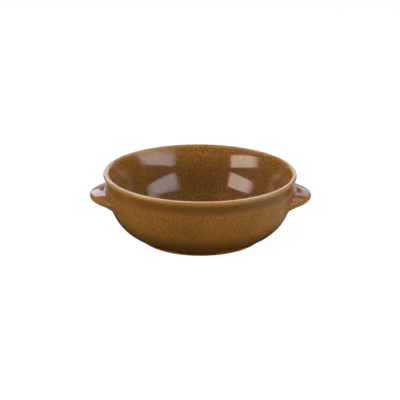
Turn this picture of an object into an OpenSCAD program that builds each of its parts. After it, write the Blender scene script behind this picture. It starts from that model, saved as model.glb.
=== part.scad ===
// Round stoneware baking dish: a bellied bowl with a flared, rounded lip, two solid
// half-moon lug handles luted to its sides, and a low foot ring that it stands on.
// Millimetres, +Z up, origin on the table under the middle of the bowl, handles along X.

/* [Bowl outside] */
// Diameter over the rim
rim_d = 160; // [150:1:190]
// Height from the table to the top of the lip
dish_h = 56; // [52:0.5:70]
// Thickness of the lip, which is fully rounded
lip_t = 3.8; // [3:0.1:5]
// How far the rim stands out beyond the neck below it
rim_overhang = 2.9; // [2:0.1:5]
// Height of the neck, the narrow place under the flared rim
neck_h = 42.3; // [38:0.1:46]
// Radius of the belly's upper curve, just below the neck
belly_r = 50.5; // [44:0.5:70]
// How far that curve turns before the tighter lower curve takes over, in degrees
belly_turn = 24.5; // [14:0.5:30]

/* [Bowl inside] */
// Wall thickness at the waist
wall_t = 7.5; // [6.5:0.1:8.5]
// Depth below the rim of the waist, where the inside passes from belly to flare
waist_drop = 19.4; // [17:0.1:22]
// Outward lean of the inside wall at the waist, in degrees
waist_lean = 15; // [12:0.5:16.5]
// Radius of the inside wall's slow curve below the waist
side_r = 88; // [75:1:120]
// How far that curve turns before the tighter curve into the floor takes over, in degrees
side_turn = 12; // [9:0.5:14]
// Thickness of the base
base_t = 6; // [4:0.1:8]

/* [Foot ring] */
// Diameter over the foot ring
foot_d = 103; // [92:1:110]
// Height of the foot ring
foot_h = 2.3; // [2:0.1:5]
// Width of the foot ring
foot_w = 6.5; // [4:0.1:10]
// How far the ring stands proud of the belly above it
foot_proud = 0.4; // [0.2:0.1:0.8]
// Rounding of the two edges that meet the table
foot_edge_r = 1; // [0.4:0.1:1.2]

/* [Handles] */
// How far each handle reaches out beyond the rim
handle_reach = 12.3; // [9:0.1:18]
// Height of the handle's nose above the table
handle_h = 35.1; // [32:0.1:38]
// Rounding of the nose, seen from the side
nose_r = 3; // [2:0.1:3.8]
// Height that the handle's root climbs the wall above the nose
root_up = 9.9; // [9:0.1:12]
// Depth that the handle's root runs down the wall below the nose
root_down = 11.8; // [11:0.1:16]
// Fillet between the handle's top and the wall
top_fillet_r = 4; // [2:0.1:5]
// Fillet between the handle's underside and the wall
under_fillet_r = 6.5; // [4:0.1:7]
// Half the angle that the root spans round the bowl, in degrees
root_spread = 29; // [24:0.5:33]
// How fast the reach fades towards the ends of the root: higher is more pointed
end_taper = 1.55; // [1.3:0.05:2]
// How fast the root's own height fades towards its ends
root_taper = 0.3; // [0.15:0.05:0.4]
// Clay slip left in the joint between handle and wall
slip_t = 0.1; // [0.05:0.01:0.3]

/* [Hidden] */

glaze_colour = "#82572B";
clay_colour = "#B08A62";

right_angle = 90;
half_turn = 180;

// Steps along each curve of the bowl's section and of the foot ring's edges, and round a full turn
curve_steps = 16;
edge_steps = 6;
$fn = 180;

// Sections across a handle, steps along its fillets, flanks and nose, and across its seat
handle_sections = 44;
fillet_steps = 7;
flank_steps = 5;
nose_steps = 6;
seat_steps = 14;
// Share of the root's spread where the handle's feathered ends are cut off
feather_end = 0.97;

// Lip: a circle in section
lip_r = lip_t / 2;
lip_c = [rim_d / 2 - lip_r, dish_h - lip_r];

// Outside flare: an arc that leaves the neck upright and runs tangent into the lip
neck_r = rim_d / 2 - rim_overhang;
lip_in = neck_r - lip_c.x;
lip_up = lip_c.y - neck_h;
flare_r = (lip_in ^ 2 + lip_up ^ 2 - lip_r ^ 2) / (2 * (lip_r - lip_in));
flare_c = [neck_r + flare_r, neck_h];
flare_turn = asin(lip_up / (flare_r + lip_r));

// Belly: an upper arc from the neck, then a lower arc that ends at the foot ring
belly_c = [neck_r - belly_r, neck_h];
turn_p = belly_c + belly_r * [cos(belly_turn), -sin(belly_turn)];
foot_p = [foot_d / 2 - foot_proud, foot_h];
to_centre = [-cos(belly_turn), sin(belly_turn)];
lower_r = (foot_p - turn_p) * (foot_p - turn_p) / (2 * (foot_p - turn_p) * to_centre);
lower_c = turn_p + lower_r * to_centre;
foot_angle = atan2(lower_c.y - foot_p.y, foot_p.x - lower_c.x);

// Inside below the waist: the side's curve, then the curve that runs flat into the floor
floor_h = foot_h + base_t;
waist_h = dish_h - waist_drop;
waist_p = [outside_radius(waist_h) - wall_t, waist_h];
up_wall = [sin(waist_lean), cos(waist_lean)];
out_wall = [cos(waist_lean), -sin(waist_lean)];
side_c = waist_p - side_r * out_wall;
side_lean = waist_lean + side_turn;
side_end = side_c + side_r * [cos(side_lean), -sin(side_lean)];
floor_r = (side_end.y - floor_h) / (1 - sin(side_lean));
floor_c = side_end - floor_r * [cos(side_lean), -sin(side_lean)];

// Inside above the waist: an arc that runs tangent into the lip
lip_along = (lip_c - waist_p) * up_wall;
lip_across = (lip_c - waist_p) * out_wall;
inside_flare_r = (lip_along ^ 2 + lip_across ^ 2 - lip_r ^ 2) / (2 * (lip_across - lip_r));
inside_flare_c = waist_p + inside_flare_r * out_wall;
inside_turn = asin(lip_along / (inside_flare_r - lip_r));
waist_angle = half_turn - waist_lean;
lip_angle = waist_angle - inside_turn;

// How far a handle stands out from the wall at its middle
full_reach = rim_d / 2 + handle_reach - outside_radius(handle_h) - slip_t;

// Points on an arc about a centre, from one angle to another
function arc(centre, r, from, to, steps = curve_steps) = [
    for (i = [0 : steps])
        let (a = from + (to - from) * i / steps)
        centre + r * [cos(a), sin(a)]
];

// Radius of the bowl's outside at a height, from the foot ring up to the rim
function outside_radius(z) =
    z > neck_h ? flare_c.x - sqrt(flare_r ^ 2 - (z - neck_h) ^ 2)
    : z > turn_p.y ? belly_c.x + sqrt(belly_r ^ 2 - (z - neck_h) ^ 2)
    : lower_c.x + sqrt(lower_r ^ 2 - (z - lower_c.y) ^ 2);

// Half section of the bowl, anticlockwise from the middle of its underside
function bowl_section() = concat(
    [[0, foot_h]],
    arc(lower_c, lower_r, -foot_angle, -belly_turn),
    arc(belly_c, belly_r, -belly_turn, 0),
    arc(flare_c, flare_r, half_turn, half_turn - flare_turn),
    arc(lip_c, lip_r, -flare_turn, lip_angle),
    arc(inside_flare_c, inside_flare_r, lip_angle, waist_angle),
    arc(side_c, side_r, -waist_lean, -side_lean),
    arc(floor_c, floor_r, -side_lean, -right_angle),
    [[0, floor_h]]
);

module bowl() {
    color(glaze_colour)
        rotate_extrude()
            polygon(bowl_section());
}

// Half section of the foot ring: flat on top, all three outer edges rounded
function foot_section() =
    let (outer = foot_d / 2, inner = foot_d / 2 - foot_w)
    concat(
        arc([inner + foot_edge_r, foot_edge_r], foot_edge_r, half_turn, half_turn + right_angle, edge_steps),
        arc([outer - foot_edge_r, foot_edge_r], foot_edge_r, -right_angle, 0, edge_steps),
        arc([outer - foot_proud, foot_h - foot_proud], foot_proud, 0, right_angle, edge_steps),
        [[inner, foot_h]]
    );

module foot_ring() {
    color(clay_colour)
        rotate_extrude()
            polygon(foot_section());
}

// One flank of a handle, from the root out to the nose: a fillet that leaves the wall, a straight run,
// and half of the rounded nose. Distances are from the wall and from the nose's height.
function flank(reach, root, fillet_r) =
    let (
        fillet_c = [fillet_r, root],
        nose_c = [reach - nose_r, 0],
        apart = nose_c - fillet_c,
        slope = atan2(apart.y, apart.x) + asin((nose_r + fillet_r) / norm(apart)),
        fillet = arc(fillet_c, fillet_r, -half_turn, slope - right_angle, fillet_steps),
        nose = arc(nose_c, nose_r, slope + right_angle, 0, nose_steps),
        run = nose[0] - fillet[fillet_steps]
    )
    concat(
        fillet,
        [for (i = [1 : flank_steps - 1]) fillet[fillet_steps] + run * i / flank_steps],
        nose
    );

// Outline of a handle with a reach, and a root that runs up and down from the nose's height: down the
// top flank to the nose, back under it to the wall, and up the seat
function handle_outline(reach, up, down) =
    let (top = flank(reach, up, top_fillet_r), under = flank(reach, down, under_fillet_r))
    concat(
        top,
        [for (i = [len(under) - 2 : -1 : 0]) [under[i].x, -under[i].y]],
        [for (i = [1 : seat_steps - 1]) [0, (up + down) * i / seat_steps - down]]
    );

// The section at one place round the bowl, where 0 is the middle and 1 is an end of the root. It follows
// the wall, and its reach and its height fade smoothly towards the ends.
function handle_section(place) =
    let (
        fade = 1 - place ^ 2,
        tall = fade ^ root_taper,
        outline = handle_outline(full_reach * fade ^ end_taper, root_up * tall, root_down * tall),
        angle = place * root_spread
    )
    [
        for (p = outline)
            let (z = handle_h + p.y, r = outside_radius(z) + slip_t + p.x)
            [r * cos(angle), r * sin(angle), z]
    ];

// Skin a row of sections that have the same number of points
module loft(sections) {
    n = len(sections[0]);
    last = len(sections) - 1;
    polyhedron(
        points = [for (s = sections) each s],
        faces = concat(
            [[for (j = [0 : n - 1]) j]],
            [for (i = [0 : last - 1], j = [0 : n - 1])
                let (a = i * n + j, b = i * n + (j + 1) % n)
                each [[a, a + n, b], [b, a + n, b + n]]],
            [[for (j = [n - 1 : -1 : 0]) last * n + j]]
        )
    );
}

module handle() {
    color(glaze_colour)
        loft([
            for (i = [0 : handle_sections])
                handle_section(feather_end * (2 * i / handle_sections - 1))
        ]);
}

module right_handle() {
    handle();
}

module left_handle() {
    rotate(half_turn)
        handle();
}

bowl();
foot_ring();
left_handle();
right_handle();
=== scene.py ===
"""Looks of a round stoneware baking dish: bowl, lug handles and foot ring under a speckled brown glaze."""

import logging
import math
from dataclasses import dataclass
from enum import Enum

import bpy
import numpy as np
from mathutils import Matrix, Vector


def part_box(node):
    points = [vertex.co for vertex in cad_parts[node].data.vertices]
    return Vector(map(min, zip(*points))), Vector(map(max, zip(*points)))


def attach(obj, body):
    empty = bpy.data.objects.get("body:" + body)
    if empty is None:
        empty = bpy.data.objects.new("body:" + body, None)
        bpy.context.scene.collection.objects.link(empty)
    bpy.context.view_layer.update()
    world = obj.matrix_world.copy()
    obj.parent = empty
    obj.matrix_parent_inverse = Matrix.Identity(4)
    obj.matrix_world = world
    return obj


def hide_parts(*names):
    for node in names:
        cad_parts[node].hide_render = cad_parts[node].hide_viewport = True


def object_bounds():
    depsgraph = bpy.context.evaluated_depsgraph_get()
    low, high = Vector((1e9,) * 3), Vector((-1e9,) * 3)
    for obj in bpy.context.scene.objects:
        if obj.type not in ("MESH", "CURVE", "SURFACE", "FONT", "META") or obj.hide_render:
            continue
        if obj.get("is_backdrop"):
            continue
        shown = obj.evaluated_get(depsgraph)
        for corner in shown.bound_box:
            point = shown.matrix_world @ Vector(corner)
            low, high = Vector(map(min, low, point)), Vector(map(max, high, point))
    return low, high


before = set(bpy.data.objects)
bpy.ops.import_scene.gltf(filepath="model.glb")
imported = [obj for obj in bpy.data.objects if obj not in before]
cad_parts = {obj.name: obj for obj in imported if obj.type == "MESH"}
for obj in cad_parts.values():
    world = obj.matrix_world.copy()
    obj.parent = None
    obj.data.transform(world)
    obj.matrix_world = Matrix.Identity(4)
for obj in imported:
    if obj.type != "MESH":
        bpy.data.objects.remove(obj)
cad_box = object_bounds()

log = logging.getLogger("baking_dish")

Node = bpy.types.Node
Socket = bpy.types.NodeSocket
Material = bpy.types.Material
Piece = bpy.types.Object
Colour = tuple[float, float, float]
Point = tuple[float, float]
Span = tuple[float, float]
Corners = tuple[Point, Point, Point, Point]

MM = 0.001
BODY = "root"
WHITE: Colour = (1.0, 1.0, 1.0)


class Slot(Enum):
    """The record's material slots."""

    GLAZE = "glaze"
    BARE_CLAY = "bare_clay"


class Side(Enum):
    """The side of the bowl that a handle is on, as the turn about the bowl's axis in degrees."""

    RIGHT = 0.0
    LEFT = 180.0


class Use(Enum):
    """What a lamp does: light the dish, show in its glaze, or both."""

    LIGHT = "light"
    MIRROR = "mirror"
    BOTH = "both"


class Mark(Enum):
    """Values kept on the points of a mesh, which the materials read."""

    THIN = "thin_glaze"
    # Pale broken glaze over the lip's crest, with a painted highlight.
    BROKEN_AND_HIGHLIGHT = "broken_glaze"
    # Darker pooled glaze, with painted shade.
    POOL = "pooled_glaze"
    BARE = "bare_clay"
    INNER = "inner_face"
    GLOW = "glow"


def arc(centre: Point, radius: float, start: float, end: float, steps: int) -> np.ndarray:
    """Points along an arc of a section.

    Args:
        centre: Middle of the arc, as radius and height.
        radius: Radius of the arc.
        start: First angle in degrees.
        end: Last angle in degrees.
        steps: Number of steps along it.

    Returns:
        The points, one row each.
    """
    angle = np.radians(start + (end - start) * np.linspace(0.0, 1.0, steps + 1))
    return np.column_stack([centre[0] + radius * np.cos(angle), centre[1] + radius * np.sin(angle)])


def ramp(low: float, high: float, value: np.ndarray) -> np.ndarray:
    """A smooth step from 0 at low to 1 at high.

    Args:
        low: Value where the step starts.
        high: Value where it ends, which may be below low.
        value: Values to step.

    Returns:
        The stepped values.
    """
    t = np.clip((np.asarray(value, float) - low) / (high - low), 0.0, 1.0)
    return t * t * (3.0 - 2.0 * t)


@dataclass(frozen=True)
class HandWarp:
    """The slight unevenness of the fired dish, in millimetres at the rim.

    The rim is lower by drop on the right than on the left, and leans to the left. The ease keeps both small
    low down.
    """

    height: float
    rim_r: float
    drop: float = 1.1
    lean: float = 0.5
    ease: float = 1.5

    def share(self, z: np.ndarray) -> np.ndarray:
        """How much of the unevenness has come in at heights z."""
        return np.clip(z / self.height, 0.0, 1.0) ** self.ease

    def leftward(self, z: np.ndarray) -> np.ndarray:
        """How far the dish leans to the left at heights z."""
        return self.lean * self.share(z)

    def bend(self, points: np.ndarray) -> np.ndarray:
        """Lower the rim on the right and let it lean a little to the left.

        Args:
            points: Points as x, y and z in the last axis.

        Returns:
            The moved points.
        """
        moved = np.array(points, float)
        across = np.maximum(points[..., 0] / self.rim_r + 1.0, 0.0) / 2.0
        moved[..., 2] -= self.drop * self.share(points[..., 2]) * across
        moved[..., 0] -= self.leftward(points[..., 2])
        return moved


@dataclass
class Skin:
    """A grid of points that is skinned into a smooth mesh.

    Attributes:
        name: Name of the piece.
        grid: Points by row and column, in millimetres.
        round_about: Whether the last column joins the first.
        capped: Whether the first and the last row are closed with a flat face.
        marks: Values by row and column for the finishes.
    """

    name: str
    grid: np.ndarray
    round_about: bool
    capped: bool
    marks: dict[Mark, np.ndarray]

    def faces(self) -> list[tuple[int, ...]]:
        """Find the faces of the grid.

        Returns:
            Corner numbers of every face.
        """
        rows, columns = self.grid.shape[:2]
        across = columns if self.round_about else columns - 1
        found: list[tuple[int, ...]] = []
        for i in range(rows - 1):
            low = i * columns
            high = low + columns
            for j in range(across):
                k = (j + 1) % columns
                found.append((low + j, low + k, high + k, high + j))
        if self.capped:
            found.append(tuple(range(columns - 1, -1, -1)))
            found.append(tuple(range((rows - 1) * columns, rows * columns)))
        return found

    def build(self) -> Piece:
        """Make the mesh object and put it in the scene.

        Returns:
            The new object.
        """
        mesh = bpy.data.meshes.new(self.name)
        mesh.from_pydata((self.grid.reshape(-1, 3) * MM).tolist(), [], self.faces())
        mesh.polygons.foreach_set("use_smooth", np.ones(len(mesh.polygons), dtype=bool))
        for mark_name, values in self.marks.items():
            layer = mesh.attributes.new(mark_name.value, "FLOAT", "POINT")
            layer.data.foreach_set("value", np.ascontiguousarray(values, dtype=np.float32).ravel())
        mesh.update()
        piece = bpy.data.objects.new(self.name, mesh)
        bpy.context.scene.collection.objects.link(piece)
        return piece


@dataclass(frozen=True)
class GlazeZones:
    """Where the bowl's glaze runs thin, where it breaks pale with a painted highlight over the crest, and
    where painted shade darkens it, and how strongly.

    Each span is a pair of heights in millimetres, from where an edge starts to where it is full. Only
    crest_back is a pair of sines of the turn towards the back.
    """

    thin_outside: Span = (51.0, 55.0)
    thin_inside: Span = (53.0, 55.4)
    crest: Span = (55.3, 55.9)
    crest_back: Span = (0.7, 0.0)
    # Painted shade: under the lip, darker towards the bottom of the outside, and low on the inner wall.
    neck_low: Span = (42.0, 47.0)
    neck_high: Span = (52.5, 50.5)
    neck_shade: float = 0.85
    neck_relief: float = 0.45
    foot_high: Span = (26.0, 14.0)
    foot_low: Span = (6.0, 13.0)
    foot_shade: float = 0.8
    hollow_high: Span = (52.0, 38.0)
    hollow_low: Span = (12.0, 26.0)
    hollow_shade: float = 0.5

    def thin(self, z: np.ndarray, outer: np.ndarray) -> np.ndarray:
        """How thin the glaze is at heights z, on the outer face or the inner one."""
        return np.where(outer, ramp(*self.thin_outside, z), ramp(*self.thin_inside, z))

    def broken_and_highlight(self, z: np.ndarray, turn: np.ndarray) -> np.ndarray:
        """How far the glaze breaks pale over the crest, with a painted highlight that is full at the front
        and sides and fades towards the back, at heights z and at turns about the bowl's axis.
        """
        return ramp(*self.crest, z)[:, None] * ramp(*self.crest_back, np.sin(turn))

    def pool(self, z: np.ndarray, outer: np.ndarray, side: np.ndarray) -> np.ndarray:
        """How dark the painted shade is, with some pooled glaze: under the lip, towards the bottom of the
        outside and low on the inner wall.

        Args:
            z: Heights.
            outer: Whether each height is on the outer face.
            side: How near each turn about the axis is to where the lip is thickest.

        Returns:
            The darkness by height and turn, from 0 to 1.
        """
        neck = ramp(*self.neck_low, z) * ramp(*self.neck_high, z)
        foot = self.foot_shade * ramp(*self.foot_high, z) * ramp(*self.foot_low, z)
        hollow = self.hollow_shade * ramp(*self.hollow_high, z) * ramp(*self.hollow_low, z)
        under_lip = neck[:, None] * (self.neck_shade - self.neck_relief * side**2)
        return np.where(outer[:, None], np.maximum(under_lip, foot[:, None]), hollow[:, None])


@dataclass
class Bowl:
    """The thrown bowl: a bellied wall that flares into a rounded lip. Millimetres and degrees."""

    rim_r: float
    height: float
    lip_t: float = 3.8
    rim_overhang: float = 2.9
    neck_h: float = 42.3
    belly_r: float = 50.5
    belly_turn: float = 24.5
    wall_t: float = 7.5
    waist_h: float = 36.6
    waist_lean: float = 15.0
    side_r: float = 88.0
    side_turn: float = 12.0
    floor_h: float = 8.3
    foot_r: float = 51.1
    foot_h: float = 2.3
    lip_swell: float = 1.1
    swell_side: float = 230.0
    swell_heights: Span = (28.0, 54.0)
    zones: GlazeZones = GlazeZones()
    columns: int = 288
    curve_steps: int = 36
    lower_steps: int = 48
    lip_outer_steps: int = 24
    lip_inner_steps: int = 14
    floor_steps: int = 40
    base_rings: tuple[float, ...] = (1.0, 10.0, 20.0, 30.0, 40.0, 48.0)
    floor_rings: tuple[float, ...] = (40.0, 30.0, 20.0, 10.0, 4.0, 1.0)

    def __post_init__(self) -> None:
        """Work out the arcs of the section from the sizes."""
        lip_r = self.lip_t / 2
        self.lip_r = lip_r
        self.lip_c = np.array([self.rim_r - lip_r, self.height - lip_r])
        self.neck_r = self.rim_r - self.rim_overhang
        inward = self.neck_r - self.lip_c[0]
        upward = self.lip_c[1] - self.neck_h
        self.flare_r = (inward**2 + upward**2 - lip_r**2) / (2 * (lip_r - inward))
        self.flare_c = np.array([self.neck_r + self.flare_r, self.neck_h])
        self.flare_turn = math.degrees(math.asin(upward / (self.flare_r + lip_r)))

        turn = math.radians(self.belly_turn)
        self.belly_c = np.array([self.neck_r - self.belly_r, self.neck_h])
        self.turn_p = self.belly_c + self.belly_r * np.array([math.cos(turn), -math.sin(turn)])
        foot_p = np.array([self.foot_r, self.foot_h])
        inwards = np.array([-math.cos(turn), math.sin(turn)])
        chord = foot_p - self.turn_p
        self.lower_r = float(chord @ chord / (2 * chord @ inwards))
        self.lower_c = self.turn_p + self.lower_r * inwards
        drop = self.lower_c[1] - foot_p[1]
        self.foot_angle = math.degrees(math.atan2(drop, foot_p[0] - self.lower_c[0]))

        lean = math.radians(self.waist_lean)
        waist = np.array([float(self.outside(np.array(self.waist_h))) - self.wall_t, self.waist_h])
        up_wall = np.array([math.sin(lean), math.cos(lean)])
        out_wall = np.array([math.cos(lean), -math.sin(lean)])
        self.side_c = waist - self.side_r * out_wall
        self.side_lean = self.waist_lean + self.side_turn
        end = math.radians(self.side_lean)
        side_end = self.side_c + self.side_r * np.array([math.cos(end), -math.sin(end)])
        self.floor_r = float((side_end[1] - self.floor_h) / (1 - math.sin(end)))
        self.floor_c = side_end - self.floor_r * np.array([math.cos(end), -math.sin(end)])
        along = float((self.lip_c - waist) @ up_wall)
        across = float((self.lip_c - waist) @ out_wall)
        self.inside_flare_r = (along**2 + across**2 - lip_r**2) / (2 * (across - lip_r))
        self.inside_flare_c = waist + self.inside_flare_r * out_wall
        self.waist_angle = 180.0 - self.waist_lean
        self.lip_angle = self.waist_angle - math.degrees(math.asin(along / (self.inside_flare_r - lip_r)))

    def outside(self, z: np.ndarray) -> np.ndarray:
        """Radius of the outside at a height.

        Args:
            z: Heights above the table.

        Returns:
            The radii.
        """
        flare = self.flare_c[0] - np.sqrt(np.maximum(self.flare_r**2 - (z - self.neck_h) ** 2, 0.0))
        belly = self.belly_c[0] + np.sqrt(np.maximum(self.belly_r**2 - (z - self.neck_h) ** 2, 0.0))
        lower = self.lower_c[0] + np.sqrt(np.maximum(self.lower_r**2 - (z - self.lower_c[1]) ** 2, 0.0))
        return np.where(z > self.neck_h, flare, np.where(z > self.turn_p[1], belly, lower))

    def section(self) -> tuple[np.ndarray, np.ndarray]:
        """Half section from under the middle, up the outside, over the lip and down to the floor.

        Returns:
            The points, and whether each point is on the outside.
        """
        curve = self.curve_steps
        outside = [
            np.array([[r, self.foot_h] for r in self.base_rings]),
            arc(self.lower_c, self.lower_r, -self.foot_angle, -self.belly_turn, self.lower_steps)[:-1],
            arc(self.belly_c, self.belly_r, -self.belly_turn, 0, curve)[:-1],
            arc(self.flare_c, self.flare_r, 180, 180 - self.flare_turn, curve)[:-1],
            arc(self.lip_c, self.lip_r, -self.flare_turn, 90, self.lip_outer_steps)[:-1],
        ]
        inside = [
            arc(self.lip_c, self.lip_r, 90, self.lip_angle, self.lip_inner_steps)[:-1],
            arc(self.inside_flare_c, self.inside_flare_r, self.lip_angle, self.waist_angle, curve)[:-1],
            arc(self.side_c, self.side_r, -self.waist_lean, -self.side_lean, curve)[:-1],
            arc(self.floor_c, self.floor_r, -self.side_lean, -90, self.floor_steps),
            np.array([[r, self.floor_h] for r in self.floor_rings]),
        ]
        count = [sum(len(p) for p in part) for part in (outside, inside)]
        return np.vstack(outside + inside), np.repeat([True, False], count)

    def build(self, warp: HandWarp) -> Piece:
        """Spin the section into the bowl.

        Args:
            warp: Unevenness to give it.

        Returns:
            The bowl.
        """
        points, outer = self.section()
        turn = np.linspace(0.0, 2.0 * math.pi, self.columns, endpoint=False)
        z = points[:, 1]
        full = np.ones((1, self.columns))
        inner = np.where(outer, 0.0, 1.0)
        side = np.clip(np.cos(turn - math.radians(self.swell_side)), 0.0, 1.0) ** 2
        swell = ramp(self.lip_c[0], self.lip_c[0] - self.lip_r, points[:, 0])
        swell = swell * ramp(*self.swell_heights, z) * inner
        r = points[:, :1] - self.lip_swell * swell[:, None] * side
        grid = np.stack([r * np.cos(turn), r * np.sin(turn), z[:, None] * full], axis=-1)
        return Skin(
            "bowl_glazed",
            warp.bend(grid),
            round_about=True,
            capped=True,
            marks={
                Mark.THIN: self.zones.thin(z, outer)[:, None] * full,
                # The crest's pale glaze carries a painted highlight, strongest at the front.
                Mark.BROKEN_AND_HIGHLIGHT: self.zones.broken_and_highlight(z, turn),
                # Painted shade under the lip, low on the belly and on the inner wall.
                Mark.POOL: self.zones.pool(z, outer, side),
                Mark.INNER: inner[:, None] * full,
            },
        ).build()

    def dress(self, piece: Piece, finish: "Glaze") -> None:
        """Glaze the bowl and set it on its node.

        Args:
            piece: The bowl.
            finish: Its glaze.
        """
        piece.data.materials.append(finish.material())
        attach(piece, BODY)
        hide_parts("bowl")


@dataclass
class LugHandle:
    """A solid half-moon lug that swells out of the wall with fillets all round. Millimetres and degrees.

    The glaze's spans are shares of the full reach, apart from the upper span of the pooled glaze and
    painted shade at the root, which is a height above the nose.
    """

    side: Side
    tip_r: float
    nose_h: float = 35.1
    nose_r: float = 3.0
    root_up: float = 9.9
    root_down: float = 11.8
    top_fillet_r: float = 4.0
    under_fillet_r: float = 6.5
    root_spread: float = 29.0
    end_taper: float = 1.55
    root_taper: float = 0.3
    feather_end: float = 0.97
    tuck: float = 0.02
    tuck_within: float = 0.1
    thin_edge: Span = (0.35, 1.0)
    thin_most: float = 0.5
    pool_and_shade_root: Span = (0.35, 0.1)
    pool_and_shade_top: Span = (0.0, 4.0)
    pool_and_shade_most: float = 0.5
    sections: int = 160
    fillet_points: int = 27
    fillet_crowding: float = 1.4
    run_points: int = 18
    nose_points: int = 21

    @property
    def name(self) -> str:
        """Name of the handle's CAD node."""
        return f"{self.side.name.lower()}_handle"

    def flank(self, reach: np.ndarray, root: np.ndarray, fillet_r: float) -> np.ndarray:
        """One flank of the handle from its root to its nose, at every place along it.

        Args:
            reach: Distance from the wall to the nose, by place.
            root: Height of the root above the nose, or depth below it, by place.
            fillet_r: Radius of the fillet at the root.

        Returns:
            Distance from the wall and distance from the nose's height, by place and point.
        """
        dx = reach - self.nose_r - fillet_r
        slope = np.arctan2(-root, dx) + np.arcsin((self.nose_r + fillet_r) / np.hypot(dx, -root))
        turned = (slope + math.pi / 2)[:, None]
        swing = -math.pi + turned * np.linspace(0.0, 1.0, self.fillet_points) ** self.fillet_crowding
        away = fillet_r * (1.0 + np.cos(swing))
        fillet = np.stack([away, root[:, None] + fillet_r * np.sin(swing)], axis=-1)
        swing = turned * np.linspace(1.0, 0.0, self.nose_points)
        away = reach[:, None] + self.nose_r * (np.cos(swing) - 1.0)
        nose = np.stack([away, self.nose_r * np.sin(swing)], axis=-1)
        along = np.linspace(0.0, 1.0, self.run_points)[None, 1:-1, None]
        run = fillet[:, -1:] + (nose[:, :1] - fillet[:, -1:]) * along
        return np.concatenate([fillet, run, nose], axis=1)

    def build(self, bowl: Bowl, warp: HandWarp) -> Piece:
        """Loft the handle round the wall.

        Args:
            bowl: The bowl that it grows out of.
            warp: Unevenness to give it.

        Returns:
            The handle.
        """
        spread = np.linspace(-self.feather_end, self.feather_end, self.sections)
        place = np.sin(spread * math.pi / 2)
        fade = 1.0 - place**2
        full = self.tip_r - float(bowl.outside(np.array(self.nose_h)))
        reach = full * fade**self.end_taper
        tall = fade**self.root_taper
        top = self.flank(reach, self.root_up * tall, self.top_fillet_r)
        under = self.flank(reach, self.root_down * tall, self.under_fillet_r)[:, -2::-1] * [1.0, -1.0]
        outline = np.concatenate([top, under], axis=1)

        out = outline[..., 0]
        z = self.nose_h + outline[..., 1]
        r = bowl.outside(z) + out - self.tuck * ramp(self.tuck_within, 0.0, out)
        angle = np.radians(self.side.value + place * self.root_spread)[:, None]
        grid = np.stack([r * np.cos(angle), r * np.sin(angle), z], axis=-1)

        standing = out / full
        # Pooled glaze with painted shade in the valley above the root, fading towards the ends.
        root_pool_and_shade = ramp(*self.pool_and_shade_root, standing) * ramp(*self.pool_and_shade_top, outline[..., 1])
        return Skin(
            f"{self.name}_glazed",
            warp.bend(grid),
            round_about=False,
            capped=False,
            marks={
                Mark.THIN: ramp(*self.thin_edge, standing) * self.thin_most,
                Mark.POOL: root_pool_and_shade * fade[:, None] * self.pool_and_shade_most,
            },
        ).build()

    def dress(self, piece: Piece, finish: "Glaze") -> None:
        """Glaze the handle and set it on its node.

        Args:
            piece: The handle.
            finish: Its glaze.
        """
        piece.data.materials.append(finish.material())
        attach(piece, BODY)
        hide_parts(self.name)


@dataclass
class FootRing:
    """The low turned ring that the dish stands on. Millimetres.

    The glaze runs down the outermost glazed_w of the ring, and is wiped off between the heights in wiped.
    """

    outer_r: float
    height: float = 2.3
    width: float = 6.5
    proud: float = 0.4
    edge_r: float = 1.0
    glazed_w: float = 1.5
    wiped: Span = (0.9, 0.3)
    # The glaze on the whole ring is darkened by this much with painted shade.
    pool: float = 0.8
    columns: int = 240
    edge_steps: int = 12
    shoulder_steps: int = 8

    def build(self) -> Piece:
        """Spin the ring's section.

        Returns:
            The foot ring.
        """
        inner_r = self.outer_r - self.width
        edge = self.edge_r
        shoulder = (self.outer_r - self.proud, self.height - self.proud)
        points = np.vstack([
            [[inner_r, self.height]],
            arc((inner_r + edge, edge), edge, 180, 270, self.edge_steps),
            arc((self.outer_r - edge, edge), edge, 270, 360, self.edge_steps),
            arc(shoulder, self.proud, 0, 90, self.shoulder_steps),
        ])
        turn = np.linspace(0.0, 2.0 * math.pi, self.columns, endpoint=False)
        full = np.ones((len(points), self.columns))
        r = points[:, :1]
        z = points[:, 1:]
        grid = np.stack([r * np.cos(turn), r * np.sin(turn), z * full], axis=-1)
        bare = np.where(r < self.outer_r - self.glazed_w, 1.0, ramp(*self.wiped, z))
        return Skin(
            "foot_ring_fired",
            grid,
            round_about=True,
            capped=False,
            marks={Mark.BARE: bare * full, Mark.POOL: self.pool * full},
        ).build()

    def dress(self, piece: Piece, finish: "FootFinish") -> None:
        """Finish the ring and set it on its node.

        Args:
            piece: The foot ring.
            finish: Its clay and glaze.
        """
        piece.data.materials.append(finish.material())
        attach(piece, BODY)
        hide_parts("foot_ring")


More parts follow.
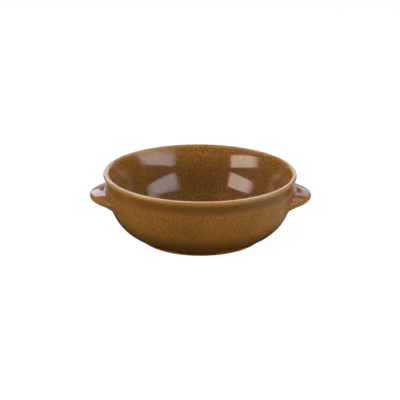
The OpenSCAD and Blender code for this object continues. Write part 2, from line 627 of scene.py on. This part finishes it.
class Tree:
    """A node tree with short ways to add and join its nodes."""

    def __init__(self, tree: bpy.types.NodeTree) -> None:
        """Start from an empty tree.

        Args:
            tree: The tree, whose nodes are cleared.
        """
        self.tree = tree
        tree.nodes.clear()

    def add(self, kind: str, **settings: object) -> Node:
        """Add a node.

        Args:
            kind: Its type, without the ShaderNode in front.
            settings: Its properties.

        Returns:
            The new node.
        """
        node = self.tree.nodes.new(kind if kind.startswith("NodeGroup") else "ShaderNode" + kind)
        for key, value in settings.items():
            setattr(node, key, value)
        return node

    def feed(self, socket: Socket, value: object) -> None:
        """Link a socket to another, or set its value.

        Args:
            socket: The input.
            value: An output socket, a number or a colour.
        """
        if isinstance(value, Socket):
            self.tree.links.new(value, socket)
        elif isinstance(value, tuple) and len(value) == 3 and socket.type == "RGBA":
            socket.default_value = (*value, 1.0)
        else:
            socket.default_value = value

    def fill(self, node: Node, *values: object) -> Socket:
        """Feed the first inputs of a node.

        Args:
            node: The node.
            values: Sockets, numbers or colours, in the order of its inputs.

        Returns:
            The node's first output.
        """
        for socket, value in zip(node.inputs, values):
            self.feed(socket, value)
        return node.outputs[0]

    def math(self, operation: str, *values: object, clamp: bool = False) -> Socket:
        """Do a sum on sockets or numbers, with Blender's name for the operation."""
        return self.fill(self.add("Math", operation=operation, use_clamp=clamp), *values)

    def step(
        self, value: object, low: object, high: object, to_low: float = 0.0, to_high: float = 1.0
    ) -> Socket:
        """Map a value smoothly from one range to another.

        Args:
            value: The value.
            low: Start of its range.
            high: End of its range.
            to_low: Result at the start.
            to_high: Result at the end.

        Returns:
            The mapped value.
        """
        node = self.add("MapRange", interpolation_type="SMOOTHSTEP")
        return self.fill(node, value, low, high, to_low, to_high)

    def blend(self, share: object, first: object, second: object) -> Socket:
        """Mix two colours.

        Args:
            share: How much of the second, from 0 to 1.
            first: First colour.
            second: Second colour.

        Returns:
            The mixed colour.
        """
        node = self.add("Mix", data_type="RGBA", blend_type="MIX")
        self.feed(node.inputs[0], share)
        self.feed(node.inputs[6], first)
        self.feed(node.inputs[7], second)
        return node.outputs[2]

    def bump(self, height: Socket, strength: float, distance: float) -> Socket:
        """Turn a height into a normal.

        Args:
            height: The height, from 0 to 1.
            strength: How much of it shows.
            distance: Height of a full step, in metres.

        Returns:
            The normal.
        """
        node = self.add("Bump")
        self.feed(node.inputs["Strength"], strength)
        self.feed(node.inputs["Distance"], distance)
        self.feed(node.inputs["Height"], height)
        return node.outputs[0]

    def group(self, tree: bpy.types.NodeTree, **values: object) -> Node:
        """Place a node group.

        Args:
            tree: The group's tree.
            values: Its inputs by name.

        Returns:
            The group's node.
        """
        node = self.add("Group", node_tree=tree)
        for name, value in values.items():
            self.feed(node.inputs[name], value)
        return node


class KilnGroups:
    """Node groups for what the kiln does to clay and glaze alike. Lengths are in millimetres."""

    SPECK_ODDS: float = 1.6
    NOISE_SPAN: Span = (0.3, 0.7)

    @staticmethod
    def start(
        name: str, inputs: dict[str, float | None], outputs: tuple[str, ...]
    ) -> tuple[Tree, Node, Node]:
        """Make an empty group with named sockets.

        Args:
            name: Name of the group.
            inputs: Names of its inputs and their values, where None is a place in space.
            outputs: Names of its outputs, all plain values.

        Returns:
            Its tree, its input node and its output node.
        """
        group = bpy.data.node_groups.new(name, "ShaderNodeTree")
        for key, value in inputs.items():
            kind = "NodeSocketVector" if value is None else "NodeSocketFloat"
            socket = group.interface.new_socket(key, in_out="INPUT", socket_type=kind)
            if value is not None:
                socket.default_value = value
        for key in outputs:
            group.interface.new_socket(key, in_out="OUTPUT", socket_type="NodeSocketFloat")
        tree = Tree(group)
        return tree, tree.add("NodeGroupInput"), tree.add("NodeGroupOutput")

    @classmethod
    def speckle(cls) -> bpy.types.NodeTree:
        """Iron specks of mixed sizes that burn through, as a mask.

        Returns:
            The group, made once.
        """
        name = "iron_speckle"
        if name in bpy.data.node_groups:
            return bpy.data.node_groups[name]
        inputs = {"Place": None, "Spacing": 2.0, "Size": 0.5, "Soft": 0.25}
        tree, given, result = cls.start(name, inputs, ("Specks",))
        cells = tree.add("TexVoronoi", voronoi_dimensions="3D", feature="F1")
        tree.feed(cells.inputs["Vector"], given.outputs["Place"])
        tree.feed(cells.inputs["Scale"], tree.math("DIVIDE", 1.0, given.outputs["Spacing"]))
        away = tree.math("MULTIPLY", cells.outputs["Distance"], given.outputs["Spacing"])
        chance = tree.fill(tree.add("SeparateColor"), cells.outputs["Color"])
        odds = tree.math("POWER", chance, cls.SPECK_ODDS)
        radius = tree.math("MULTIPLY", given.outputs["Size"], odds)
        inside = tree.math("SUBTRACT", radius, away)
        tree.feed(result.inputs["Specks"], tree.step(inside, 0.0, given.outputs["Soft"]))
        return tree.tree

    @classmethod
    def mottle(cls) -> bpy.types.NodeTree:
        """Uneven thickness: broad clouds, fine grain, and the height of the fired skin.

        Returns:
            The group, made once.
        """
        name = "kiln_mottle"
        if name in bpy.data.node_groups:
            return bpy.data.node_groups[name]
        inputs = {"Place": None, "Cloud Size": 30.0, "Grain Size": 1.6, "Skin Size": 3.0}
        tree, given, result = cls.start(name, inputs, ("Clouds", "Grain", "Skin"))
        layers = (("Clouds", "Cloud Size", 3.0), ("Grain", "Grain Size", 2.0), ("Skin", "Skin Size", 1.0))
        for output, size, detail in layers:
            noise = tree.add("TexNoise", noise_dimensions="3D")
            tree.feed(noise.inputs["Vector"], given.outputs["Place"])
            tree.feed(noise.inputs["Scale"], tree.math("DIVIDE", 1.0, given.outputs[size]))
            tree.feed(noise.inputs["Detail"], detail)
            tree.feed(result.inputs[output], tree.step(noise.outputs[0], *cls.NOISE_SPAN))
        return tree.tree


def start_material(name: str) -> tuple[Material, Tree, Socket]:
    """Make a material that has nothing but its output.

    Args:
        name: Name of the material.

    Returns:
        The material, its tree, and the socket for its surface.
    """
    material = bpy.data.materials.new(name)
    material.use_nodes = True
    tree = Tree(material.node_tree)
    return material, tree, tree.add("OutputMaterial").inputs["Surface"]


def millimetres(tree: Tree) -> Socket:
    """The place on the object, in millimetres.

    Args:
        tree: The material's tree.

    Returns:
        The place as a vector.
    """
    scaled = tree.add("VectorMath", operation="SCALE")
    tree.feed(scaled.inputs[0], tree.add("TexCoord").outputs["Object"])
    tree.feed(scaled.inputs["Scale"], 1.0 / MM)
    return scaled.outputs[0]


def mark(tree: Tree, name: Mark) -> Socket:
    """A value kept on the points of the mesh."""
    return tree.add("Attribute", attribute_type="GEOMETRY", attribute_name=name.value).outputs["Fac"]


@dataclass(frozen=True)
class Specks:
    """Iron specks of one size. Millimetres.

    Attributes:
        spacing: Distance between them.
        size: Largest radius.
        soft: Width of their soft edge.
        outside: How strongly they show on the outer face.
        inside: How strongly they show on the inner face.
    """

    spacing: float
    size: float
    soft: float
    outside: float
    inside: float

    def mask(self, tree: Tree, place: Socket) -> Socket:
        """Where the specks are.

        Args:
            tree: The material's tree.
            place: Place on the object in millimetres.

        Returns:
            Their strength over the surface.
        """
        sizes = {"Spacing": self.spacing, "Size": self.size, "Soft": self.soft}
        group = tree.group(KilnGroups.speckle(), Place=place, **sizes)
        inner = mark(tree, Mark.INNER)
        strength = tree.math("MULTIPLY_ADD", inner, self.inside - self.outside, self.outside)
        return tree.math("MULTIPLY", group.outputs["Specks"], strength)


@dataclass(frozen=True)
class Glaze:
    """A glossy honey-brown glaze with iron specks, lighter where it runs thin over edges, paler with a
    painted highlight over the lip's crest, and darker with painted shade under the lip, low down and in
    hollows.

    The sizes are in millimetres and bump_height is in metres. cloud_share is the share of body colour in
    the darkest and in the palest cloud.
    """

    name: str = "speckled_brown_glaze"
    deep: Colour = (0.148, 0.057, 0.0062)
    body: Colour = (0.277, 0.118, 0.0165)
    thin: Colour = (0.330, 0.155, 0.0330)
    # The next two are the crest's pale glaze with a painted highlight, and darker glaze with painted shade.
    broken_and_highlight: Colour = (0.515, 0.350, 0.2300)
    pooled_and_shaded: Colour = (0.125, 0.050, 0.0070)
    speck: Colour = (0.050, 0.020, 0.0050)
    roughness: float = 0.5
    roughness_swing: float = 0.1
    specular: float = 0.08
    coat_roughness: float = 0.05
    cloud_size: float = 26.0
    grain_size: float = 1.5
    skin_size: float = 3.2
    cloud_share: Span = (0.35, 0.65)
    grain_outside: float = 0.65
    grain_inside: float = 1.25
    bump_strength: float = 0.12
    bump_height: float = 0.0002
    specks: tuple[Specks, ...] = (
        Specks(spacing=1.5, size=0.8, soft=0.45, outside=0.45, inside=0.8),
        Specks(spacing=2.4, size=1.2, soft=0.8, outside=0.0, inside=0.45),
        Specks(spacing=5.5, size=1.1, soft=0.6, outside=0.75, inside=0.75),
    )

    def colour(self, tree: Tree, place: Socket) -> tuple[Socket, Node]:
        """Colour of the glaze over the surface.

        Args:
            tree: The material's tree.
            place: Place on the object in millimetres.

        Returns:
            The colour, and the mottle's node.
        """
        sizes = {"Cloud Size": self.cloud_size, "Grain Size": self.grain_size, "Skin Size": self.skin_size}
        mottle = tree.group(KilnGroups.mottle(), Place=place, **sizes)
        more = self.grain_inside - self.grain_outside
        contrast = tree.math("MULTIPLY_ADD", mark(tree, Mark.INNER), more, self.grain_outside)
        grain = tree.math("MULTIPLY", tree.math("SUBTRACT", mottle.outputs["Grain"], 0.5), contrast)
        dark, pale = self.cloud_share
        cloud = tree.math("MULTIPLY_ADD", mottle.outputs["Clouds"], pale - dark, dark)
        depth = tree.math("ADD", cloud, grain, clamp=True)
        colour = tree.blend(depth, self.deep, self.body)
        # Painted shade first, then the thin glaze, then the crest's pale glaze with its painted highlight.
        coats = ((Mark.POOL, self.pooled_and_shaded), (Mark.THIN, self.thin), (Mark.BROKEN_AND_HIGHLIGHT, self.broken_and_highlight))
        for where, coat in coats:
            colour = tree.blend(mark(tree, where), colour, coat)
        for specks in self.specks:
            colour = tree.blend(specks.mask(tree, place), colour, self.speck)
        return colour, mottle

    def shader(self, tree: Tree) -> Node:
        """A shader with the glaze's clear coat.

        Args:
            tree: The material's tree.

        Returns:
            The shader's node.
        """
        shader = tree.add("BsdfPrincipled")
        tree.feed(shader.inputs["Specular IOR Level"], self.specular)
        tree.feed(shader.inputs["Coat Weight"], 1.0)
        tree.feed(shader.inputs["Coat Roughness"], self.coat_roughness)
        return shader

    def material(self) -> Material:
        """The glaze as a material.

        Returns:
            The material, made once.
        """
        if self.name in bpy.data.materials:
            return bpy.data.materials[self.name]
        material, tree, surface = start_material(self.name)
        shader = self.shader(tree)
        tree.feed(surface, shader.outputs[0])
        colour, mottle = self.colour(tree, millimetres(tree))
        tree.feed(shader.inputs["Base Color"], colour)
        smoothest = self.roughness - self.roughness_swing / 2
        rough = tree.math("MULTIPLY_ADD", mottle.outputs["Grain"], self.roughness_swing, smoothest)
        tree.feed(shader.inputs["Roughness"], rough)
        normal = tree.bump(mottle.outputs["Skin"], self.bump_strength, self.bump_height)
        tree.feed(shader.inputs["Normal"], normal)
        return material


@dataclass(frozen=True)
class FootFinish:
    """Glaze down the ring's side, wiped off to bare fired clay where it stands.

    The wiped edge wanders by wave, and glaze gives way to clay between the values in edge.
    """

    glaze: Glaze
    name: str = "wiped_foot"
    clay: Colour = (0.42, 0.25, 0.13)
    clay_dark: Colour = (0.30, 0.165, 0.075)
    clay_roughness: float = 0.82
    grit: Specks = Specks(spacing=1.1, size=0.5, soft=0.2, outside=0.6, inside=0.6)
    wave: float = 0.3
    edge: Span = (0.4, 0.6)
    bump_strength: float = 0.3
    bump_height: float = 0.0003

    def material(self) -> Material:
        """The foot's finish as a material.

        Returns:
            The material, made once.
        """
        if self.name in bpy.data.materials:
            return bpy.data.materials[self.name]
        material, tree, surface = start_material(self.name)
        shader = self.glaze.shader(tree)
        tree.feed(surface, shader.outputs[0])
        place = millimetres(tree)
        glazed, mottle = self.glaze.colour(tree, place)
        clay = tree.blend(mottle.outputs["Grain"], self.clay_dark, self.clay)
        clay = tree.blend(self.grit.mask(tree, place), clay, self.glaze.speck)
        wavy = tree.math("MULTIPLY_ADD", mottle.outputs["Skin"], self.wave, -self.wave / 2)
        bare = tree.step(tree.math("ADD", mark(tree, Mark.BARE), wavy), *self.edge)
        tree.feed(shader.inputs["Base Color"], tree.blend(bare, glazed, clay))
        rougher = self.clay_roughness - self.glaze.roughness
        rough = tree.math("MULTIPLY_ADD", bare, rougher, self.glaze.roughness)
        tree.feed(shader.inputs["Roughness"], rough)
        tree.feed(shader.inputs["Coat Weight"], tree.math("SUBTRACT", 1.0, bare))
        height = tree.math("MULTIPLY", bare, mottle.outputs["Grain"])
        tree.feed(shader.inputs["Normal"], tree.bump(height, self.bump_strength, self.bump_height))
        return material


def oblong(half: float, low: float, high: float) -> Corners:
    """Corners of an upright oblong, in the order that a lamp takes them."""
    return ((-half, low), (half, low), (half, high), (-half, high))


@dataclass(frozen=True)
class Softbox:
    """A flat soft lamp that faces the dish. Degrees and metres.

    The azimuth is 0 on the camera's side and rises to the right. The corners are lower left, lower right,
    upper right and upper left, as offsets across and up in the lamp's plane. The glow fades over the shares
    in soft: of the width at the left and at the right, and of the height below and above.
    """

    name: str
    azimuth: float
    elevation: float
    strength: float
    corners: Corners
    soft: tuple[float, float, float, float]
    tint: Colour = WHITE
    use: Use = Use.BOTH
    distance: float = 0.9
    fade_steps: int = 4

    @classmethod
    def fill(cls, name: str, azimuth: float, elevation: float, strength: float) -> "Softbox":
        """A broad lamp that lights the dish but isn't mirrored in its glaze.

        Args:
            name: Name of the lamp.
            azimuth: Where it stands.
            elevation: How high it stands.
            strength: Brightness of its middle.

        Returns:
            The lamp.
        """
        corners = oblong(0.45, -0.3, 0.3)
        return cls(name, azimuth, elevation, strength, corners, soft=(0.2, 0.2, 0.2, 0.2), use=Use.LIGHT)

    def stops(self, start: float, end: float) -> list[tuple[float, float]]:
        """Places across the panel where its mesh has points.

        Args:
            start: Share of the width where the glow rises.
            end: Share of the width where it falls.

        Returns:
            Each place from 0 to 1, and the glow there.
        """
        shares = [k / self.fade_steps for k in range(self.fade_steps + 1)]
        rise = [(start * share, share) for share in shares]
        fall = [(1.0 - end * share, share) for share in reversed(shares)]
        return rise + fall

    def panel(self) -> bpy.types.Mesh:
        """Make the panel's mesh, with the glow on its points.

        Returns:
            The mesh.
        """
        a = math.radians(self.azimuth)
        e = math.radians(self.elevation)
        away = np.array([math.sin(a) * math.cos(e), -math.cos(a) * math.cos(e), math.sin(e)])
        across = np.array([math.cos(a), math.sin(a), 0.0])
        up = np.cross(away, across)
        low_left, low_right, top_right, top_left = (np.array(c) for c in self.corners)
        left, right, below, above = self.soft
        points = []
        glow = []
        for v, v_glow in self.stops(below, above):
            for u, u_glow in self.stops(left, right):
                low = (1 - u) * low_left + u * low_right
                top = (1 - u) * top_left + u * top_right
                x, y = (1 - v) * low + v * top
                points.append(tuple(away * self.distance + across * x + up * y))
                glow.append(u_glow * v_glow)
        row = 2 * self.fade_steps + 2
        starts = [i * row + j for i in range(row - 1) for j in range(row - 1)]
        mesh = bpy.data.meshes.new(self.name)
        mesh.from_pydata(points, [], [(k, k + row, k + row + 1, k + 1) for k in starts])
        mesh.attributes.new(Mark.GLOW.value, "FLOAT", "POINT").data.foreach_set("value", glow)
        return mesh

    def place(self) -> Piece:
        """Set up the lamp.

        Returns:
            The lamp's glowing panel.
        """
        mesh = self.panel()
        panel = bpy.data.objects.new(self.name, mesh)
        bpy.context.scene.collection.objects.link(panel)
        panel.visible_camera = False
        panel.visible_shadow = False
        panel.visible_glossy = self.use is not Use.LIGHT
        panel.visible_diffuse = self.use is not Use.MIRROR
        mesh.materials.append(self.material())
        panel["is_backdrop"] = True
        return panel

    def material(self) -> Material:
        """A glow that fades at the panel's edges. A mirrored panel doesn't hide the lamps behind it.

        Returns:
            The material.
        """
        material, tree, surface = start_material(self.name + "_glow")
        strength = tree.step(mark(tree, Mark.GLOW), 0.0, 1.0, 0.0, self.strength)
        lamp = tree.fill(tree.add("Emission"), self.tint, strength)
        if self.use is Use.MIRROR:
            lamp = tree.fill(tree.add("AddShader"), lamp, tree.add("BsdfTransparent").outputs[0])
        tree.feed(surface, lamp)
        return material


LAMPS: tuple[Softbox, ...] = (
    Softbox(
        "left_strip", -43.0, 0.0, strength=7.2, tint=(1.0, 0.82, 0.72),
        corners=((-1.0, 0.30), (0.02, 0.235), (0.02, 0.56), (-1.0, 0.60)),
        soft=(0.45, 0.1, 0.12, 0.15),
    ),
    Softbox(
        "right_strip", 44.0, 0.0, strength=4.0, tint=(1.0, 0.93, 0.98),
        corners=((-0.15, 0.262), (1.15, 0.39), (1.15, 1.1), (-0.33, 0.78)),
        soft=(0.15, 0.45, 0.08, 0.75),
    ),
    Softbox.fill("left_fill", -74.0, 24.0, strength=6.7),
    Softbox.fill("right_fill", 64.0, 12.0, strength=6.7),
    Softbox.fill("top_fill", 0.0, 85.0, strength=1.6),
    Softbox(
        "right_side_panel", 92.0, 33.0, strength=1.8, tint=(1.0, 0.92, 1.0),
        corners=oblong(0.14, -0.2, 0.25), soft=(0.3, 0.3, 0.3, 0.3), use=Use.MIRROR,
    ),
    Softbox(
        "right_back_panel", 128.0, 37.0, strength=1.3, tint=(1.0, 0.95, 1.0),
        corners=oblong(0.25, -0.12, 0.12), soft=(0.3, 0.3, 0.3, 0.3), use=Use.MIRROR,
    ),
    Softbox(
        "back_left_kite", 180.0, 0.0, strength=2.9, tint=(0.88, 0.88, 1.0),
        corners=((0.310, 0.22), (0.45, 0.22), (0.60, 0.64), (0.48, 0.64)),
        soft=(0.02, 0.02, 0.02, 0.05), use=Use.MIRROR,
    ),
    Softbox(
        "back_left_panel", 180.0, 0.0, strength=1.2, tint=(1.0, 0.95, 0.95),
        corners=((0.04, 0.2), (0.27, 0.2), (0.33, 0.62), (0.04, 0.62)),
        soft=(0.05, 0.05, 0.05, 0.3), use=Use.MIRROR,
    ),
    Softbox(
        "back_right_kite", 180.0, 0.0, strength=1.1, tint=(1.0, 0.9, 1.0),
        corners=((-0.44, 0.15), (-0.272, 0.15), (-0.437, 0.54), (-0.60, 0.54)),
        soft=(0.02, 0.02, 0.02, 0.05), use=Use.MIRROR,
    ),
    Softbox(
        "back_right_panel", 180.0, 0.0, strength=1.5, tint=(1.0, 0.95, 0.93),
        corners=((-0.21, 0.10), (-0.04, 0.10), (-0.04, 0.62), (-0.32, 0.62)),
        soft=(0.02, 0.05, 0.05, 0.3), use=Use.MIRROR,
    ),
    Softbox(
        "left_wing", 180.0, 50.0, strength=2.4, tint=(0.98, 0.95, 1.0),
        corners=((-0.008, -0.25), (0.8, 0.22), (0.8, 0.55), (-0.008, 0.22)),
        soft=(0.02, 0.05, 0.05, 0.05), use=Use.MIRROR,
    ),
    Softbox(
        "right_wing", 180.0, 50.0, strength=2.3, tint=(0.98, 0.95, 1.0),
        corners=((-0.8, 0.22), (0.008, -0.25), (0.008, 0.22), (-0.8, 0.55)),
        soft=(0.05, 0.02, 0.05, 0.05), use=Use.MIRROR,
    ),
)


@dataclass(frozen=True)
class Studio:
    """The pale floor, the white surroundings and the camera. Metres and degrees.

    The glows are the brightness of the floor and the surroundings where the glaze mirrors them. The spans
    are directions as sines, apart from floor_contact, which is a pair of distances from the axis.
    """

    target: tuple[float, float, float] = (-0.00055, 0.0, 0.030)
    distance: float = 1.0
    elevation: float = 19.06
    lens: float = 107.7
    sensor: float = 36.0
    floor_r: float = 6.0
    floor_drop: float = 0.0001
    floor_sides: int = 96
    floor_colour: Colour = (0.36, 0.36, 0.36)
    floor_shade: Colour = (0.12, 0.12, 0.12)
    white: float = 0.93
    near_r: float = 0.18
    far_r: float = 0.55
    ambient: float = 0.44
    front_glow: float = 0.015
    back_glow: float = 0.6
    near_glow: float = 0.05
    right_glow: float = 0.24
    floor_behind: Span = (0.75, 0.92)
    floor_right: Span = (0.35, 0.85)
    floor_contact: Span = (0.055, 0.12)
    sky_behind: Span = (0.55, 0.9)
    sky_low: Span = (0.22, 0.08)

    @staticmethod
    def rays(tree: Tree) -> tuple[Socket, Socket]:
        """Tell the camera's own rays from those that the glaze mirrors.

        Args:
            tree: Tree of the floor or the world.

        Returns:
            1 for a ray straight from the camera, and 1 for a mirrored ray.
        """
        path = tree.add("LightPath")
        direct = tree.math("MAXIMUM", path.outputs["Is Camera Ray"], path.outputs["Is Transmission Ray"])
        return direct, path.outputs["Is Glossy Ray"]

    def floor(self) -> Piece:
        """Lay the floor.

        Returns:
            The floor.
        """
        turn = np.linspace(0.0, 2.0 * math.pi, self.floor_sides, endpoint=False)
        rim = [(self.floor_r * math.cos(a), self.floor_r * math.sin(a), -self.floor_drop) for a in turn]
        mesh = bpy.data.meshes.new("pale_floor")
        mesh.from_pydata(rim, [], [tuple(range(len(rim)))])
        mesh.materials.append(self.floor_material())
        floor = bpy.data.objects.new("pale_floor", mesh)
        bpy.context.scene.collection.objects.link(floor)
        floor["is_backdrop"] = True
        return floor

    def floor_glow(self, tree: Tree) -> Socket:
        """Brightness of the floor where the glaze mirrors it: most behind the dish, some on the right.

        Args:
            tree: The floor's tree.

        Returns:
            The brightness.
        """
        spot = tree.add("TexCoord").outputs["Object"]
        length = tree.add("VectorMath", operation="LENGTH")
        tree.feed(length.inputs[0], spot)
        reach = length.outputs["Value"]
        axes = tree.add("SeparateXYZ")
        tree.feed(axes.inputs[0], spot)
        behind = tree.step(tree.math("DIVIDE", axes.outputs[1], reach), *self.floor_behind)
        far = tree.math("MULTIPLY", behind, tree.step(reach, self.near_r, self.far_r))
        right = tree.step(tree.math("DIVIDE", axes.outputs[0], reach), *self.floor_right)
        near = tree.math("MULTIPLY_ADD", right, self.right_glow, self.near_glow)
        near = tree.math("MULTIPLY", near, tree.step(reach, *self.floor_contact))
        return tree.math("MAXIMUM", near, tree.math("MULTIPLY", far, self.back_glow))

    def floor_material(self) -> Material:
        """The floor's material: white with a soft shadow in the picture, and pale where it lights the dish.

        Returns:
            The material.
        """
        material, tree, surface = start_material("pale_floor")
        direct, glossy = self.rays(tree)
        lit = tree.fill(tree.add("BsdfDiffuse"), self.floor_colour)
        mirrored = tree.fill(tree.add("Emission"), WHITE, self.floor_glow(tree))
        indirect = tree.fill(tree.add("MixShader"), glossy, lit, mirrored)
        bright = tree.fill(tree.add("Emission"), WHITE, self.white)
        shade = tree.fill(tree.add("BsdfDiffuse"), self.floor_shade)
        shown = tree.fill(tree.add("AddShader"), bright, shade)
        tree.feed(surface, tree.fill(tree.add("MixShader"), direct, indirect, shown))
        return material

    def surroundings(self) -> None:
        """Give the world an even light, white in the picture, and dim where the glaze mirrors the front."""
        world = bpy.data.worlds.new("studio")
        bpy.context.scene.world = world
        world.use_nodes = True
        tree = Tree(world.node_tree)
        output = tree.add("OutputWorld")
        direct, glossy = self.rays(tree)
        axes = tree.add("SeparateXYZ")
        tree.feed(axes.inputs[0], tree.add("TexCoord").outputs["Generated"])
        behind = tree.step(axes.outputs[1], *self.sky_behind)
        low = tree.step(axes.outputs[2], *self.sky_low)
        more = self.back_glow - self.front_glow
        glow = tree.math("MULTIPLY_ADD", tree.math("MULTIPLY", behind, low), more, self.front_glow)
        even = tree.fill(tree.add("Background"), WHITE, self.ambient)
        shown = tree.fill(tree.add("Background"), WHITE, tree.math("MAXIMUM", direct, glow))
        seen = tree.math("MAXIMUM", direct, glossy)
        tree.feed(output.inputs["Surface"], tree.fill(tree.add("MixShader"), seen, even, shown))

    def camera(self) -> Piece:
        """Set up the camera in front of the dish.

        Returns:
            The camera.
        """
        data = bpy.data.cameras.new("camera")
        data.lens = self.lens
        data.sensor_width = self.sensor
        camera = bpy.data.objects.new("camera", data)
        bpy.context.scene.collection.objects.link(camera)
        e = math.radians(self.elevation)
        back = Vector((0.0, -math.cos(e), math.sin(e)))
        camera.location = Vector(self.target) + back * self.distance
        camera.rotation_mode = "QUATERNION"
        camera.rotation_quaternion = back.to_track_quat("Z", "Y")
        bpy.context.scene.camera = camera
        return camera

    def build(self) -> None:
        """Set up the whole studio."""
        self.floor()
        self.surroundings()
        self.camera()
        for lamp in LAMPS:
            lamp.place()


def report(piece: Piece) -> None:
    """Log a finished piece."""
    log.info("%s: %d points", piece.name, len(piece.data.vertices))


def write_sizes() -> None:
    """Log the CAD model's box and the visual model's box."""
    boxes = {"cad": [list(c) for c in cad_box], "visual": [list(c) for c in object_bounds()]}
    for name, (low, high) in boxes.items():
        log.info("%s box %s to %s", name, [round(v / MM, 2) for v in low], [round(v / MM, 2) for v in high])


def main() -> None:
    """Build the dish, dress it, and set up the studio."""
    logging.basicConfig(level=logging.INFO, format="%(name)s: %(message)s")
    bpy.context.scene.view_settings.view_transform = "Standard"

    _, bowl_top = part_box("bowl")
    _, handle_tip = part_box("right_handle")
    _, foot_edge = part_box("foot_ring")
    bowl = Bowl(rim_r=min(bowl_top.x, bowl_top.y) / MM, height=bowl_top.z / MM)
    warp = HandWarp(height=bowl.height, rim_r=bowl.rim_r)
    glaze = Glaze()

    piece = bowl.build(warp)
    bowl.dress(piece, glaze)
    report(piece)
    for side in Side:
        handle = LugHandle(side=side, tip_r=handle_tip.x / MM)
        if side is Side.LEFT:
            handle.tip_r -= float(warp.leftward(np.array(handle.nose_h + handle.nose_r)))
        piece = handle.build(bowl, warp)
        handle.dress(piece, glaze)
        report(piece)
    foot = FootRing(outer_r=min(foot_edge.x, foot_edge.y) / MM)
    piece = foot.build()
    foot.dress(piece, FootFinish(glaze))
    report(piece)

    Studio().build()
    write_sizes()


if __name__ == "__main__":
    main()
